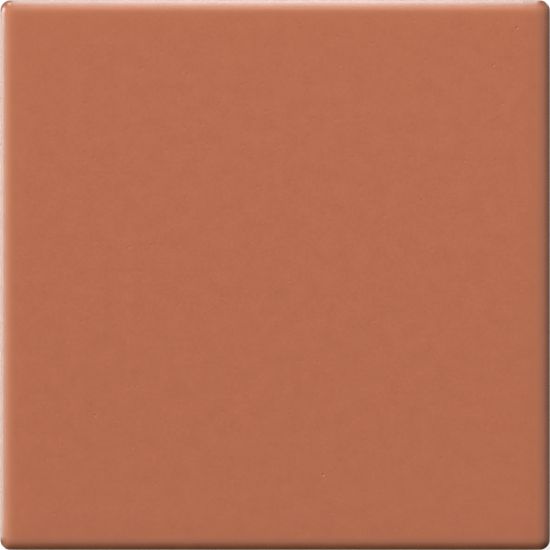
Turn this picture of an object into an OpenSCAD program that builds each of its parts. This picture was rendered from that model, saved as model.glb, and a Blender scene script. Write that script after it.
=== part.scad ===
// Square glazed wall and floor tile with a cushion edge.
// The tile lies on its keyed back, with the glazed face up and the middle of its back at the origin.
// All sizes are in millimetres.

/* [Tile] */
// Width of the tile, along X
tile_w = 148; // [60:1:300]
// Length of the tile, along Y
tile_l = 148; // [60:1:300]
// Thickness over all, from the back's ribs to the glazed face
tile_t = 7; // [5:0.1:14]

/* [Edges] */
// Width of the cushion roll round the glazed face
roll_w = 3.8; // [2:0.1:5]
// Radius of the cushion roll
roll_r = 6.5; // [5.5:0.1:12]
// Radius of the arris between the roll and the sides
arris_r = 0.4; // [0.2:0.1:0.8]
// Radius of the four corners in plan
corner_r = 2.7; // [1.5:0.1:4.5]
// Height and depth of the bevel where the sides meet the back
back_bevel = 0.8; // [0.2:0.1:1.2]

/* [Keyed back] */
// Least width of the plain rim round the keyed back
rim_w = 6; // [4:0.5:20]
// Width of one cell, at its mouth
cell_w = 11.6; // [6:0.1:14]
// Width of the ribs between the cells
rib_w = 2; // [1:0.1:5]
// Depth of the cells
key_depth = 0.5; // [0.2:0.1:1.2]
// How far each wall of a cell leans in over its depth
cell_lean = 0.4; // [0.1:0.1:1.5]

/* [Hidden] */
$fn = 64;

// The arris lies inside the roll's circle and touches it where the roll has turned by this angle
roll_angle = asin((roll_w - arris_r) / (roll_r - arris_r));
arris_z = tile_t - roll_r + (roll_r - arris_r) * cos(roll_angle);

cell_pitch = cell_w + rib_w;

// Cells that fit side by side between the rims of a side of this length
function cell_count(side) = floor((side - 2 * rim_w + rib_w) / cell_pitch);

// What the roll and the arris take off a square edge, with the outer side at x = 0 and the tile at +X
module edge_waste() {
    reach = 2 * arris_r;
    difference() {
        translate([-1, arris_z]) square([roll_w + 1, tile_t - arris_z + 1]);
        translate([roll_w, tile_t - roll_r]) circle(r = roll_r);
    }
    translate([arris_r, arris_z]) difference() {
        polygon([
            [0, 0],
            [-reach, 0],
            [-reach, reach * cos(roll_angle)],
            [-reach * sin(roll_angle), reach * cos(roll_angle)]
        ]);
        circle(r = arris_r);
    }
}

// Section of the border, from the outer side at x = 0 to this depth
module border_section(depth) {
    difference() {
        polygon([[back_bevel, 0], [depth, 0], [depth, tile_t], [0, tile_t], [0, back_bevel]]);
        edge_waste();
    }
}

// Section of the whole tile across a side of this length, with its middle at x = 0
module whole_section(side) {
    for (end = [0, 1]) mirror([end, 0]) translate([-side / 2, 0]) border_section(side / 2);
}

// The tile with sharp corners: a bar along X and a bar along Y, where they cross
module square_blank() {
    intersection() {
        translate([0, tile_l / 2, 0]) rotate([90, 0, 0]) linear_extrude(tile_l) whole_section(tile_w);
        translate([-tile_w / 2, 0, 0]) rotate([90, 0, 90]) linear_extrude(tile_w) whole_section(tile_l);
    }
}

// One corner, turned about its own centre, with its outer sides at +X and +Y
module round_corner() {
    rotate_extrude(angle = 90) translate([corner_r, 0]) mirror([1, 0]) border_section(corner_r);
}

// The pressed shape before the back is keyed
module blank() {
    middle_w = tile_w - 2 * corner_r;
    middle_l = tile_l - 2 * corner_r;
    intersection() {
        square_blank();
        union() {
            translate([-middle_w / 2, -tile_l / 2 - 1, -1]) cube([middle_w, tile_l + 2, tile_t + 2]);
            translate([-tile_w / 2 - 1, -middle_l / 2, -1]) cube([tile_w + 2, middle_l, tile_t + 2]);
        }
    }
    for (sx = [0, 1], sy = [0, 1])
        mirror([sx, 0, 0]) mirror([0, sy, 0]) translate([middle_w / 2, middle_l / 2, 0]) round_corner();
}

// Section of one groove, as wide as a cell where it passes through the plane of the back
module groove_section() {
    mouth = cell_w / 2;
    polygon([
        [-mouth - cell_lean, -key_depth],
        [mouth + cell_lean, -key_depth],
        [mouth - cell_lean, key_depth],
        [cell_lean - mouth, key_depth]
    ]);
}

// Grooves side by side across a side of this length, each running along Y for the given run
module grooves(side, run) {
    count = cell_count(side);
    for (i = [0 : count - 1])
        translate([(i - (count - 1) / 2) * cell_pitch, run / 2, 0])
            rotate([90, 0, 0]) linear_extrude(run) groove_section();
}

// The cells of the keyed back, which are where grooves across and along the tile meet
module cells() {
    intersection() {
        grooves(tile_w, tile_l);
        rotate(90) grooves(tile_l, tile_w);
    }
}

module tile() {
    color([0.71, 0.43, 0.32]) difference() {
        blank();
        cells();
    }
}

tile();
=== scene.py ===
import math
import random

import bpy
import numpy as np
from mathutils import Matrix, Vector


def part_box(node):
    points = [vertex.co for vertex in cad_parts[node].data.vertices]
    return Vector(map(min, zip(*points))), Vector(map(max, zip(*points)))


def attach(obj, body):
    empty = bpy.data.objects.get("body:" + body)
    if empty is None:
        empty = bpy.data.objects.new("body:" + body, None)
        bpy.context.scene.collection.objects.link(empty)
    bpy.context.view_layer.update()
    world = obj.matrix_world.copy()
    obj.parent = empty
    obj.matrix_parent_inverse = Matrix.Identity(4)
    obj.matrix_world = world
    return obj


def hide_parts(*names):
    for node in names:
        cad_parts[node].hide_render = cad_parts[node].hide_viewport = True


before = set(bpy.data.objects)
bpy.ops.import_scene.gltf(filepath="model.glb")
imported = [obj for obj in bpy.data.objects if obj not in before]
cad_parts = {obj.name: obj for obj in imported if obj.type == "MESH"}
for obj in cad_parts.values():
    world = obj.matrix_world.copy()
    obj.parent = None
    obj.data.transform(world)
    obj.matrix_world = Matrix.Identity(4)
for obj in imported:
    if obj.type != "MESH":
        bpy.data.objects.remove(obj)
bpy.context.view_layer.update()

tile_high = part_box("tile")[1]

MM = 0.001

# The pressed section, as in the CAD model, in metres. The tile lies on its back with the glazed face up.
HALF = np.array([tile_high.x, tile_high.y])
THICK = tile_high.z
ROLL_W = 3.8 * MM
ROLL_R = 6.5 * MM
ARRIS_R = 0.4 * MM
CORNER_R = 2.7 * MM
BACK_BEVEL = 0.8 * MM
CELLS = 10
CELL_W = 11.6 * MM
CELL_PITCH = 13.6 * MM
CELL_LEAN = 0.4 * MM
KEY_DEPTH = 0.5 * MM

# The roll meets the arris where the surface has turned by this angle, and the arris ends on the side.
ROLL_ANGLE = math.asin((ROLL_W - ARRIS_R) / (ROLL_R - ARRIS_R))
ARRIS_Z = THICK - ROLL_R + (ROLL_R - ARRIS_R) * math.cos(ROLL_ANGLE)

# The fine relief that the pressing, the glaze and the firing add. All of it lies inside the CAD section.
CORNER_EASE = 0.7            # 0 keeps the arris level round the corners, 1 turns them into part of a ball
SHOULDER_FROM, SHOULDER_TO = 8.0 * MM, 2.0 * MM      # the face falls away a little between these insets
SHOULDER_DROP = 0.09 * MM
FACE_WAVE = 0.012 * MM
SIDE_WAVE = 0.04 * MM
BEVEL_POWER = 1.25           # 1 is a flat bevel, 2 a round one
GLAZE_LINE = 2.9 * MM        # height of the glaze's lower edge on the sides
GLAZE_LINE_WAVE = 0.45 * MM
GLAZE_THICK = 0.13 * MM
LIP_H = 0.10 * MM
BARE_BELOW = GLAZE_LINE - 0.5 * LIP_H                # the body is bare under this height of the grid

# Where the glaze's colour is painted paler on the roll, a painted highlight, and darker on the arris, a
# painted shade, measured inwards from the sides, and how far those lines wander.
ROLL_SHEEN_FROM, ROLL_SHEEN_TO = 4.6 * MM, 2.0 * MM              # the glaze is painted paler between these insets, a painted highlight
ROLL_SHEEN_CORNER = 5.0 * MM
ARRIS_SHADE_FROM, ARRIS_SHADE_TO = 2.10 * MM, 0.30 * MM            # and painted darker between these, a painted shade
ARRIS_SHADE_LOW, ARRIS_SHADE_HIGH = ARRIS_Z - 1.4 * MM, ARRIS_Z - 0.3 * MM      # on the sides, the painted shade grows between these heights
COLOUR_WANDER = 0.12 * MM

# Linear colours of the glaze and of the fired body.
GLAZE_DEEP = (0.360, 0.1010, 0.0437, 1)
GLAZE_LIGHT = (0.422, 0.1292, 0.0614, 1)
# a painted highlight: the glaze's colour on the inner part of the roll
GLAZE_ROLL_SHEEN = (0.383, 0.134, 0.066, 1)
# painted shade: the glaze's darker colour on the arris
GLAZE_ARRIS_SHADE = (0.170, 0.053, 0.022, 1)
CLAY = (0.355, 0.178, 0.106, 1)
CLAY_PALE = (0.415, 0.228, 0.146, 1)
GROG = (0.60, 0.40, 0.29, 1)
IRON = (0.18, 0.08, 0.05, 1)
KILN_WASH = (0.64, 0.55, 0.47, 1)

# Surfaces.
SATIN_LOW, SATIN_HIGH = 0.21, 0.23                   # the glaze's roughness runs between these
GLAZE_IOR = 1.46
PEEL_DEPTH = 0.018 * MM
PIT_SIZE, PIT_DEPTH = 0.6 * MM, 0.10 * MM
MATT = 0.9                                           # roughness of the bare body and of the floor
BODY_GLOSS = 0.3
COARSE_DEPTH, FINE_DEPTH = 0.12 * MM, 0.03 * MM      # the bare body's grain


# ---------------------------------------------------------------- the tile's mesh

def arris_points(angles):
    """How far in from the side, and how high, the arris is where it has turned this far, in degrees."""
    turned = np.radians(angles)
    return ARRIS_R * (1 - np.sin(turned)), ARRIS_Z + ARRIS_R * np.cos(turned)


def top_height(inset):
    """Height of the arris, the roll or the flat face, this far in from the side."""
    into_roll = np.clip(ROLL_W - inset, 0, ROLL_W)
    into_arris = np.clip(ARRIS_R - inset, 0, ARRIS_R)
    roll = THICK - ROLL_R + np.sqrt(ROLL_R ** 2 - into_roll ** 2)
    arris = ARRIS_Z + np.sqrt(ARRIS_R ** 2 - into_arris ** 2)
    return np.where(into_arris > ARRIS_R * math.sin(ROLL_ANGLE), arris, roll)


# Up to ARRIS_SPLIT degrees of turn the arris lies on the face's grid lines, and past it on the side's rows.
ARRIS_SPLIT = 65
ARRIS_STEPS = 5
UPPER_ARRIS = np.linspace(math.degrees(ROLL_ANGLE), ARRIS_SPLIT, ARRIS_STEPS)
LOWER_ARRIS = np.linspace(90, ARRIS_SPLIT, ARRIS_STEPS)

# How many grid lines cut the roll, and how many rows cut each part of the sides.
ROLL_STEPS = 12
FOOT_ROWS = 5
BARE_ROWS = 8
BAND_ROWS = 7

TINY = 1e-12                 # what a length is raised to before it divides
HAIR = 1e-6                  # how much of a length may be lost in rounding


def half_lines(half):
    """Grid lines from the middle of the tile out to one side, close together where the surface turns."""
    mouth = CELL_W / 2
    on_floor = (0.0, 1.7 * MM, 3.4 * MM, mouth - 2 * CELL_LEAN)
    on_wall = (mouth - CELL_LEAN, mouth)
    on_rib = mouth + 0.2 * MM
    beside_roll = half - ROLL_W - 0.8 * MM
    lines = {0.0, beside_roll, half}
    for cell in range(CELLS // 2):
        centre = (cell + 0.5) * CELL_PITCH
        for step in (*on_floor, *on_wall, on_rib):
            lines |= {centre - step, centre + step}
        lines.add(centre + CELL_PITCH / 2)
    roll_angles = np.linspace(0, ROLL_ANGLE, ROLL_STEPS)[:-1]
    lines |= {half - ROLL_W + ROLL_R * math.sin(angle) for angle in roll_angles}
    lines |= set(half - arris_points(UPPER_ARRIS[:-1])[0])
    return sorted(lines)


def both_ways(lines):
    """Grid lines from the middle out, and their mirror images."""
    return np.array([-line for line in reversed(lines[1:])] + lines)


def side_rows():
    """Rows up the side: the grid's heights, and how far in from the side and how high each row lies."""
    foot = np.linspace(0, 1, FOOT_ROWS)[:-1]
    bare = np.linspace(BACK_BEVEL, GLAZE_LINE - LIP_H, BARE_ROWS)
    band = np.linspace(GLAZE_LINE, ARRIS_Z, BAND_ROWS)[:-1]
    arris_inset, arris_height = arris_points(LOWER_ARRIS)
    foot_inset = BACK_BEVEL * (1 - foot)
    foot_height = BACK_BEVEL * (1 - (1 - foot ** BEVEL_POWER) ** (1 / BEVEL_POWER))
    grid = np.concatenate([BACK_BEVEL * foot, bare, band, arris_height[:-1], [THICK]])
    inset = np.concatenate([foot_inset, 0 * bare, 0 * band, arris_inset])
    height = np.concatenate([foot_height, bare, band, arris_height])
    return grid, inset, height


def box_skin(xs, ys, zs):
    """The points and the outward quads of a box whose faces are cut along these grid lines."""
    shape = len(xs), len(ys), len(zs)
    skin = np.zeros(shape, bool)
    skin[[0, -1]] = skin[:, [0, -1]] = skin[:, :, [0, -1]] = True
    number = np.full(shape, -1)
    number[skin] = np.arange(skin.sum())
    points = np.stack(np.meshgrid(xs, ys, zs, indexing="ij"), -1)[skin]
    quads = []
    for axis in range(3):
        for end in (0, -1):
            sheet = np.take(number, end, axis)
            loop = [sheet[:-1, :-1], sheet[1:, :-1], sheet[1:, 1:], sheet[:-1, 1:]]
            outward = (end == -1) != (axis == 1)
            quads.append(np.stack(loop if outward else loop[::-1], -1).reshape(-1, 4))
    return points, np.concatenate(quads)


def waves(seed, shortest, longest, count=24):
    """A smooth random height over the plan, between about -1 and 1, with wavelengths in this range."""
    draw = random.Random(seed)
    parts = []
    for _ in range(count):
        length = shortest * (longest / shortest) ** draw.random()
        turn = draw.uniform(0, math.tau)
        way = math.tau / length * np.array([math.cos(turn), math.sin(turn)])
        parts.append((way, draw.uniform(0, math.tau)))

    def height(plan):
        total = sum(np.sin(plan @ way + phase) for way, phase in parts)
        return np.tanh(total / math.sqrt(count))

    return height


def smooth(value):
    """0 to 1 with level ends."""
    value = np.clip(value, 0, 1)
    return value * value * (3 - 2 * value)


def cell_share(at):
    """0 on the ribs and the rim, rising to 1 on a cell's floor, along one axis."""
    nearest = np.clip(np.floor(at / CELL_PITCH), -CELLS // 2, CELLS // 2 - 1) + 0.5
    from_centre = np.abs(at - nearest * CELL_PITCH)
    return np.clip((CELL_W / 2 - from_centre) / CELL_LEAN, 0, 1)


face_height = waves(seed=3, shortest=14 * MM, longest=60 * MM)
side_height = waves(seed=5, shortest=6 * MM, longest=30 * MM)
glaze_edge = waves(seed=11, shortest=2.2 * MM, longest=26 * MM)


def tile_points(grid):
    """Shapes the box's skin into the tile: cushion edge, round corners, bevelled back, cells and relief."""
    row_grid, row_inset, row_height = side_rows()
    on_back, on_top = grid[:, 2] == 0, grid[:, 2] == THICK

    # How far in from the nearest side a point lies, and which way out of the tile is.
    core = np.clip(grid[:, :2], CORNER_R - HALF, HALF - CORNER_R)
    out = grid[:, :2] - core
    reach = np.abs(out).max(1)
    way = out / np.maximum(np.linalg.norm(out, axis=1), TINY)[:, None]
    on_side = reach > CORNER_R * (1 - HAIR)
    border_inset = CORNER_R - reach
    foot = BACK_BEVEL + GLAZE_THICK + SIDE_WAVE
    border_inset = np.where(on_back, foot + border_inset * (1 - foot / CORNER_R), border_inset)
    inset = np.where(on_side, np.interp(grid[:, 2], row_grid, row_inset), border_inset)

    # Below the glaze the bare body stands back by the glaze's thickness, and its side isn't quite true.
    outline = core + way * CORNER_R
    bare = on_side & (grid[:, 2] < BARE_BELOW)
    untrue = SIDE_WAVE * (0.5 + 0.5 * side_height(outline)) * smooth(1 - grid[:, 2] / ARRIS_Z)
    inset = inset + GLAZE_THICK * bare + untrue * on_side
    border = reach > 0
    plan = np.where(border[:, None], core + way * (CORNER_R - inset)[:, None], grid[:, :2])

    # Heights: the side's rows, the flat back, and the face with its roll.
    face_inset = np.where(border, inset, (HALF - np.abs(plan)).min(1))
    z = np.where(on_side, np.interp(grid[:, 2], row_grid, row_height), grid[:, 2])
    z = np.where(on_top & ~on_side, top_height(face_inset), z)

    # The glaze's lower edge wanders, and the rows near it go along.
    near_line = np.interp(grid[:, 2], [BACK_BEVEL, GLAZE_LINE - LIP_H, GLAZE_LINE, ARRIS_Z], [0, 1, 1, 0])
    z = z + on_side * near_line * GLAZE_LINE_WAVE * glaze_edge(outline)

    # The face sinks a little more at the corners, falls towards the sides, and has a fired glaze's waves.
    from_side = HALF - np.abs(plan)
    ball = np.linalg.norm(np.clip(ROLL_W - from_side, 0, None), axis=1)
    even = np.clip(ROLL_W - face_inset, 0, None)
    corner_fall = np.sqrt(ROLL_R ** 2 - even ** 2) - np.sqrt(ROLL_R ** 2 - np.maximum(ball, even) ** 2)
    fall = smooth((SHOULDER_FROM - from_side) / (SHOULDER_FROM - SHOULDER_TO))
    wave = FACE_WAVE * (0.5 + 0.5 * face_height(plan))
    sunk = CORNER_EASE * corner_fall + SHOULDER_DROP * fall.sum(1) + wave
    z = z - sunk * np.clip((z - GLAZE_LINE) / (THICK - GLAZE_LINE), 0, 1)

    # The cells of the keyed back.
    depth = KEY_DEPTH * np.minimum(cell_share(grid[:, 0]), cell_share(grid[:, 1]))
    z = np.where(on_back, z + depth, z)
    return np.column_stack([plan, z])


def tile_piece(glaze, biscuit):
    """The whole tile as one closed mesh, glazed down to the glaze line and bare below it."""
    rows = side_rows()[0]
    grid, quads = box_skin(both_ways(half_lines(HALF[0])), both_ways(half_lines(HALF[1])), rows)
    mesh = bpy.data.meshes.new("fired_tile")
    mesh.from_pydata(tile_points(grid).tolist(), [], quads.tolist())
    mesh.materials.append(glaze)
    mesh.materials.append(biscuit)
    bare = grid[:, 2][quads].mean(1) < BARE_BELOW
    mesh.polygons.foreach_set("material_index", bare.astype(np.int32))
    mesh.polygons.foreach_set("use_smooth", np.ones(len(quads), bool))
    mesh.validate()
    mesh.update()
    piece = bpy.data.objects.new("fired_tile", mesh)
    bpy.context.scene.collection.objects.link(piece)
    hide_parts("tile")
    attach(piece, "root")
    return piece


# ---------------------------------------------------------------- materials

# The Mix node's sockets for colours.
MIX_SHARE, MIX_A, MIX_B, MIX_RESULT = 0, 6, 7, 2

# Most values of a noise lie between these.
NOISE_LOW, NOISE_HIGH = 0.3, 0.7


class Tree:
    """Short ways to add and join the nodes of one material."""

    def __init__(self, material):
        material.use_nodes = True
        self.nodes, self.links = material.node_tree.nodes, material.node_tree.links
        self.shader = self.nodes["Principled BSDF"]
        self.place = self.add("ShaderNodeTexCoord").outputs["Object"]
        self.height = self.add("ShaderNodeSeparateXYZ", {"Vector": self.place}).outputs["Z"]

    def add(self, kind, inputs=None, **settings):
        """A new node with these settings, and these values or links on its inputs."""
        made = self.nodes.new(kind)
        for name, value in settings.items():
            setattr(made, name, value)
        for name, value in (inputs or {}).items():
            self.put(value, made.inputs[name])
        return made

    def put(self, value, socket):
        """Links the socket to another one, or sets its value."""
        if isinstance(value, bpy.types.NodeSocket):
            self.links.new(value, socket)
        else:
            socket.default_value = value

    def noise(self, size, detail=2.0, roughness=0.5, seed=0.0):
        """Noise with features of this size, in metres, around 0.5."""
        moved = self.add("ShaderNodeVectorMath", {0: self.place, 1: (seed, seed, seed)}, operation="ADD")
        inputs = {"Vector": moved.outputs[0], "Scale": 1 / size, "Detail": detail, "Roughness": roughness}
        return self.add("ShaderNodeTexNoise", inputs).outputs["Fac"]

    def band(self, value, low, high, to_low=0.0, to_high=1.0):
        """The value moved from one range to another, and held inside it."""
        inputs = {"Value": value, "From Min": low, "From Max": high, "To Min": to_low, "To Max": to_high}
        return self.add("ShaderNodeMapRange", inputs).outputs["Result"]

    def math(self, operation, a, b):
        """The result of one Math node."""
        return self.add("ShaderNodeMath", {0: a, 1: b}, operation=operation).outputs[0]

    def mix(self, share, a, b):
        """Colour a turning to colour b."""
        made = self.add("ShaderNodeMix", data_type="RGBA")
        for value, socket in ((share, MIX_SHARE), (a, MIX_A), (b, MIX_B)):
            self.put(value, made.inputs[socket])
        return made.outputs[MIX_RESULT]

    def specks(self, spacing, size, share, seed):
        """Up to 1 on small round specks, one to a cell of this spacing, in that share of the cells.

        The cells lie over the plan, which leans with the height so that the sides have specks too.
        """
        lean = self.add("ShaderNodeCombineXYZ", {"X": self.height, "Y": self.height}).outputs[0]
        plan = self.add("ShaderNodeVectorMath", {0: self.place, 1: lean}, operation="ADD").outputs[0]
        moved = self.add("ShaderNodeVectorMath", {0: plan, 1: (seed, seed, 0)}, operation="ADD")
        inputs = {"Vector": moved.outputs[0], "Scale": 1 / spacing}
        cells = self.add("ShaderNodeTexVoronoi", inputs, voronoi_dimensions="2D")
        drawn = self.add("ShaderNodeSeparateColor", {"Color": cells.outputs["Color"]})
        strength = self.band(drawn.outputs["Blue"], 0, share, 1.0, 0.0)
        reach = size / spacing / 2
        core, rim = 0.6 * reach, 1.2 * reach
        spot = self.band(cells.outputs["Distance"], core, rim, 1.0, 0.0)
        return self.math("MULTIPLY", strength, spot)

    def inset(self, corner):
        """How far in from the sides a point lies, at most this far, with corners rounded to this radius."""
        shape = (*(HALF - corner), 0)
        out = self.add("ShaderNodeVectorMath", {0: self.place}, operation="ABSOLUTE").outputs[0]
        out = self.add("ShaderNodeVectorMath", {0: out, 1: shape}, operation="SUBTRACT").outputs[0]
        out = self.add("ShaderNodeVectorMath", {0: out, 1: (0, 0, 0)}, operation="MAXIMUM").outputs[0]
        out = self.add("ShaderNodeVectorMath", {0: out, 1: (1, 1, 0)}, operation="MULTIPLY").outputs[0]
        reach = self.add("ShaderNodeVectorMath", {0: out}, operation="LENGTH").outputs["Value"]
        return self.math("SUBTRACT", corner, reach)

    def bump(self, height, distance, under=None, strength=1.0):
        """The normal on a relief of this height, over the relief under it."""
        inputs = {"Height": height, "Distance": distance, "Strength": strength}
        if under is not None:
            inputs["Normal"] = under
        return self.add("ShaderNodeBump", inputs).outputs["Normal"]


def glaze_material():
    """Plain satin terracotta with a faint grain and pits, painted paler on the roll as a highlight and
    darker on the arris as shade.
    """
    material = bpy.data.materials.new("terracotta_glaze")
    tree = Tree(material)
    shader = tree.shader

    # Fine and coarse mottling.
    grain = tree.band(tree.noise(1.0 * MM, detail=3.0, roughness=0.6), low=0.25, high=0.75)
    clouds = tree.band(tree.noise(4.5 * MM, detail=3.0, roughness=0.6, seed=2.0), NOISE_LOW, NOISE_HIGH)
    shade = tree.add("ShaderNodeMix", {"Factor": 0.40, "A": grain, "B": clouds}).outputs["Result"]
    colour = tree.mix(shade, GLAZE_DEEP, GLAZE_LIGHT)

    # Painted paler on the inner part of the roll, a painted highlight, and painted darker on the arris, a
    # painted shade, on all four sides alike.
    uneven = tree.noise(5 * MM, seed=21.0)
    wander = tree.band(uneven, NOISE_LOW, NOISE_HIGH, -COLOUR_WANDER, COLOUR_WANDER)
    from_side = tree.math("ADD", tree.inset(ROLL_SHEEN_CORNER), wander)
    roll_sheen = tree.band(from_side, ROLL_SHEEN_TO, ROLL_SHEEN_FROM, to_low=1.0, to_high=0.0)
    colour = tree.mix(roll_sheen, colour, GLAZE_ROLL_SHEEN)
    from_outline = tree.math("ADD", tree.inset(CORNER_R), wander)
    arris_shade = tree.band(from_outline, ARRIS_SHADE_TO, ARRIS_SHADE_FROM, to_low=1.0, to_high=0.0)
    up_side = tree.band(tree.height, ARRIS_SHADE_LOW, ARRIS_SHADE_HIGH, to_low=0.35, to_high=1.0)
    colour = tree.mix(tree.math("MULTIPLY", arris_shade, up_side), colour, GLAZE_ARRIS_SHADE)
    tree.put(colour, shader.inputs["Base Color"])

    # A satin surface, with orange peel and small pits on the face that fade out on the roll.
    gloss = tree.noise(12 * MM, detail=3.0, seed=7.0)
    rough = tree.band(gloss, NOISE_LOW, NOISE_HIGH, SATIN_LOW, SATIN_HIGH)
    tree.put(rough, shader.inputs["Roughness"])
    shader.inputs["IOR"].default_value = GLAZE_IOR
    on_face = tree.band(from_side, ROLL_SHEEN_TO, ROLL_SHEEN_FROM, to_low=0.15, to_high=1.0)
    grainy = tree.noise(1.6 * MM, detail=4.0, roughness=0.65, seed=5.0)
    peel = tree.bump(grainy, PEEL_DEPTH, strength=on_face)
    shallow = tree.specks(spacing=2.4 * MM, size=PIT_SIZE, share=0.50, seed=1.0)
    deep = tree.specks(spacing=16 * MM, size=PIT_SIZE, share=0.15, seed=4.0)
    pits = tree.math("ADD", tree.math("MULTIPLY", shallow, 0.4), deep)
    pitted = tree.bump(tree.math("SUBTRACT", 1.0, pits), PIT_DEPTH, under=peel, strength=on_face)
    tree.put(pitted, shader.inputs["Normal"])
    return material


def biscuit_material():
    """The bare fired body: matt, grainy, with chalky kiln wash on the ribs of the back."""
    material = bpy.data.materials.new("fired_body")
    tree = Tree(material)
    shader = tree.shader

    # Uneven clay, with pale specks of grog and dark specks of iron.
    patches = tree.band(tree.noise(9 * MM, detail=4.0, seed=3.0), low=0.35, high=0.65)
    colour = tree.mix(patches, CLAY, CLAY_PALE)
    grog = tree.specks(spacing=1.3 * MM, size=0.4 * MM, share=0.30, seed=6.0)
    iron = tree.specks(spacing=2.6 * MM, size=0.35 * MM, share=0.25, seed=8.0)
    colour = tree.mix(tree.math("MULTIPLY", grog, 0.4), colour, GROG)
    colour = tree.mix(tree.math("MULTIPLY", iron, 0.5), colour, IRON)

    # Kiln wash, patchy, on what stands on the plane of the back.
    proud = tree.band(tree.height, 0.05 * MM, 0.25 * MM, to_low=1.0, to_high=0.0)
    cloudy = tree.noise(4 * MM, detail=5.0, roughness=0.7, seed=9.0)
    dusty = tree.band(cloudy, low=0.38, high=0.62, to_low=0.1, to_high=0.75)
    colour = tree.mix(tree.math("MULTIPLY", proud, dusty), colour, KILN_WASH)
    tree.put(colour, shader.inputs["Base Color"])

    # A matt, coarse surface with a fine one over it.
    shader.inputs["Roughness"].default_value = MATT
    shader.inputs["Specular IOR Level"].default_value = BODY_GLOSS
    coarse = tree.bump(tree.noise(1.1 * MM, detail=4.0, roughness=0.65, seed=12.0), COARSE_DEPTH)
    fine = tree.bump(tree.noise(0.25 * MM, seed=14.0), FINE_DEPTH, under=coarse)
    tree.put(fine, shader.inputs["Normal"])
    return material


# ---------------------------------------------------------------- stage, lights and camera

LAMP_WIDTH = 30              # how wide a lamp looks from the tile, in degrees
NEAR = 2.1                   # how far off the near lamps are, in metres
WHITE = (1.0, 1.0, 1.0)
WARM = (1.0, 0.97, 0.88)
WORLD_LIGHT = 0.02           # strength of the even light from all round

FLOOR = 1.6                  # from the middle of the floor to its sides, in metres
FLOOR_GAP = 0.02 * MM        # how far it lies under the tile
FLOOR_LIT = (0.90, 0.90, 0.90, 1)      # the floor's colour for the rays that light the tile
FLOOR_SEEN = (0.30, 0.30, 0.30, 1)     # and for those that see it, which also see its glow
FLOOR_GLOW = 0.72

FLAG_LEFT, FLAG_RIGHT = -0.9, 2.0      # the dark card, in metres
FLAG_LOW, FLAG_HIGH = 0.10, 1.5
FLAG_Y = -1.3
FLAG_GREY = (0.15, 0.15, 0.15, 1)

LENS, SENSOR = 120.0, 36.0             # a long lens, in millimetres
FRAME = 1.0004                         # the width of the frame over the tile's
CAMERA_X, CAMERA_Y = -0.024 * MM, 0.020 * MM


def seen(tree):
    """1 for camera, glossy and transmission rays, which see the background, and 0 for all others."""
    path = tree.nodes.new("ShaderNodeLightPath")
    total = path.outputs["Is Camera Ray"]
    for name in ("Is Glossy Ray", "Is Transmission Ray"):
        either = tree.nodes.new("ShaderNodeMath")
        either.operation = "MAXIMUM"
        tree.links.new(total, either.inputs[0])
        tree.links.new(path.outputs[name], either.inputs[1])
        total = either.outputs[0]
    return total


def make_world():
    """White to the rays that see the background, and a faint even light for the rest."""
    world = bpy.data.worlds.new("studio")
    bpy.context.scene.world = world
    world.use_nodes = True
    tree = world.node_tree
    ambient = tree.nodes["Background"]
    ambient.inputs["Color"].default_value = (*WHITE, 1)
    ambient.inputs["Strength"].default_value = WORLD_LIGHT
    white = tree.nodes.new("ShaderNodeBackground")
    white.inputs["Color"].default_value = (*WHITE, 1)
    white.inputs["Strength"].default_value = 1.0
    mix = tree.nodes.new("ShaderNodeMixShader")
    tree.links.new(seen(tree), mix.inputs[0])
    tree.links.new(ambient.outputs[0], mix.inputs[1])
    tree.links.new(white.outputs[0], mix.inputs[2])
    tree.links.new(mix.outputs[0], tree.nodes["World Output"].inputs["Surface"])


def make_floor():
    """A white floor just under the tile. Most of the white that is seen is glow, so the shadow is light."""
    mesh = bpy.data.meshes.new("floor")
    corners = [(-FLOOR, -FLOOR, 0), (FLOOR, -FLOOR, 0), (FLOOR, FLOOR, 0), (-FLOOR, FLOOR, 0)]
    mesh.from_pydata(corners, [], [(0, 1, 2, 3)])
    floor = bpy.data.objects.new("floor", mesh)
    floor.location.z = -FLOOR_GAP
    bpy.context.scene.collection.objects.link(floor)
    material = bpy.data.materials.new("floor_paint")
    tree = Tree(material)
    looked_at = seen(tree)
    shader = tree.shader
    tree.put(tree.mix(looked_at, FLOOR_LIT, FLOOR_SEEN), shader.inputs["Base Color"])
    tree.put(tree.math("MULTIPLY", looked_at, FLOOR_GLOW), shader.inputs["Emission Strength"])
    shader.inputs["Emission Color"].default_value = (*WHITE, 1)
    shader.inputs["Roughness"].default_value = MATT
    shader.inputs["Specular IOR Level"].default_value = 0.0
    mesh.materials.append(material)


def make_flag():
    """A dark card on the near side, hidden from the camera, that keeps the near edge of the glaze dark."""
    mesh = bpy.data.meshes.new("flag")
    low_corners = [(FLAG_LEFT, 0, FLAG_LOW), (FLAG_RIGHT, 0, FLAG_LOW)]
    high_corners = [(FLAG_RIGHT, 0, FLAG_HIGH), (FLAG_LEFT, 0, FLAG_HIGH)]
    mesh.from_pydata(low_corners + high_corners, [], [(0, 1, 2, 3)])
    flag = bpy.data.objects.new("flag", mesh)
    flag.location.y = FLAG_Y
    flag.visible_camera = False
    bpy.context.scene.collection.objects.link(flag)
    material = bpy.data.materials.new("dark_cloth")
    material.use_nodes = True
    shader = material.node_tree.nodes["Principled BSDF"]
    shader.inputs["Base Color"].default_value = FLAG_GREY
    shader.inputs["Roughness"].default_value = 1.0
    shader.inputs["Specular IOR Level"].default_value = 0.0
    mesh.materials.append(material)


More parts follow.
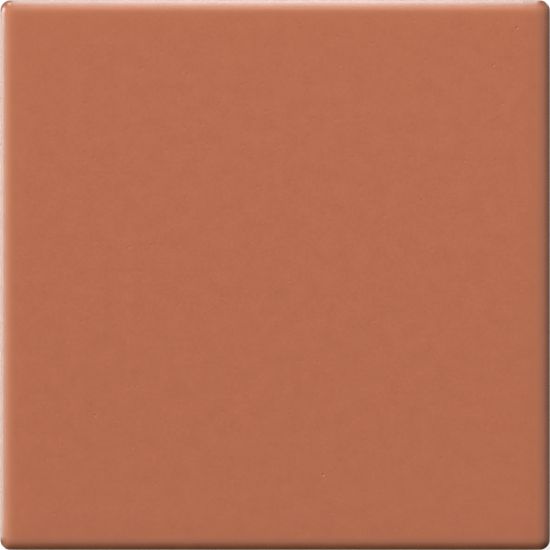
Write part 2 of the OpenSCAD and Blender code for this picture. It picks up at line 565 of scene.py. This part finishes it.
def place_lamp(name, data, azimuth, elevation, distance):
    """Points the lamp at the tile. Azimuth goes from +X towards +Y, and both angles are in degrees."""
    around, up = math.radians(azimuth), math.radians(elevation)
    towards = Vector((math.cos(around) * math.cos(up), math.sin(around) * math.cos(up), math.sin(up)))
    lamp = bpy.data.objects.new(name, data)
    lamp.location = towards * distance
    lamp.rotation_mode = "QUATERNION"
    lamp.rotation_quaternion = towards.to_track_quat("Z", "Y")
    lamp.visible_camera = False
    bpy.context.scene.collection.objects.link(lamp)


def far_lamp(name, azimuth, elevation, share, width=LAMP_WIDTH, colour=WHITE):
    """A soft lamp, far off and so even over the tile, that gives the face this share of its light."""
    data = bpy.data.lights.new(name, "SUN")
    data.color = colour
    data.energy = share * math.pi / math.sin(math.radians(elevation))
    data.angle = math.radians(width)
    place_lamp(name, data, azimuth, elevation, 1)


def near_lamp(name, azimuth, elevation, share, width=LAMP_WIDTH):
    """A round softbox that gives the middle of the face this share of its light."""
    data = bpy.data.lights.new(name, "AREA")
    data.shape = "DISK"
    data.size = 2 * NEAR * math.tan(math.radians(width / 2))
    data.energy = share * (math.pi * NEAR) ** 2 / math.sin(math.radians(elevation))
    place_lamp(name, data, azimuth, elevation, NEAR)


def make_camera():
    """Straight above the tile, which fills the frame to within a hair. Its outline is seen at the arris."""
    data = bpy.data.cameras.new("camera")
    data.lens, data.sensor_width = LENS, SENSOR
    camera = bpy.data.objects.new("camera", data)
    bpy.context.scene.collection.objects.link(camera)
    frame_w = 2 * HALF[0] * FRAME
    distance = frame_w * data.lens / data.sensor_width
    camera.location = (CAMERA_X, CAMERA_Y, ARRIS_Z + distance)
    data.clip_start, data.clip_end = 0.01, 100.0
    bpy.context.scene.camera = camera


scene = bpy.context.scene
scene.view_settings.view_transform = "Standard"

tile_piece(glaze_material(), biscuit_material())
make_world()
make_floor()
make_flag()

# The top and left lamps give those two edges their highlights, and the corner ones join them.
near_lamp("top_low", azimuth=90, elevation=14, share=0.16)
near_lamp("top_middle", azimuth=90, elevation=28, share=0.225)
near_lamp("top_high", azimuth=90, elevation=48, share=0.08, width=24)
far_lamp("corner_top", azimuth=116, elevation=28, share=0.09, width=12)
far_lamp("corner_glint", azimuth=153, elevation=29, share=0.125, width=14)
far_lamp("corner_side", azimuth=164, elevation=28, share=0.06, width=12)
far_lamp("corner_low", azimuth=158, elevation=15, share=0.015)
far_lamp("left_low", azimuth=180, elevation=14, share=0.15, colour=WARM)
far_lamp("left_middle", azimuth=180, elevation=30, share=0.14, colour=WARM)
far_lamp("left_high", azimuth=180, elevation=48, share=0.025, width=24, colour=WARM)

# The others only lift the shaded sides a little.
far_lamp("right_fill", azimuth=30, elevation=22, share=0.008)
far_lamp("right_wall", azimuth=42, elevation=4, share=0.015, width=6)
far_lamp("near_wall", azimuth=226, elevation=3, share=0.007, width=4)
make_camera()
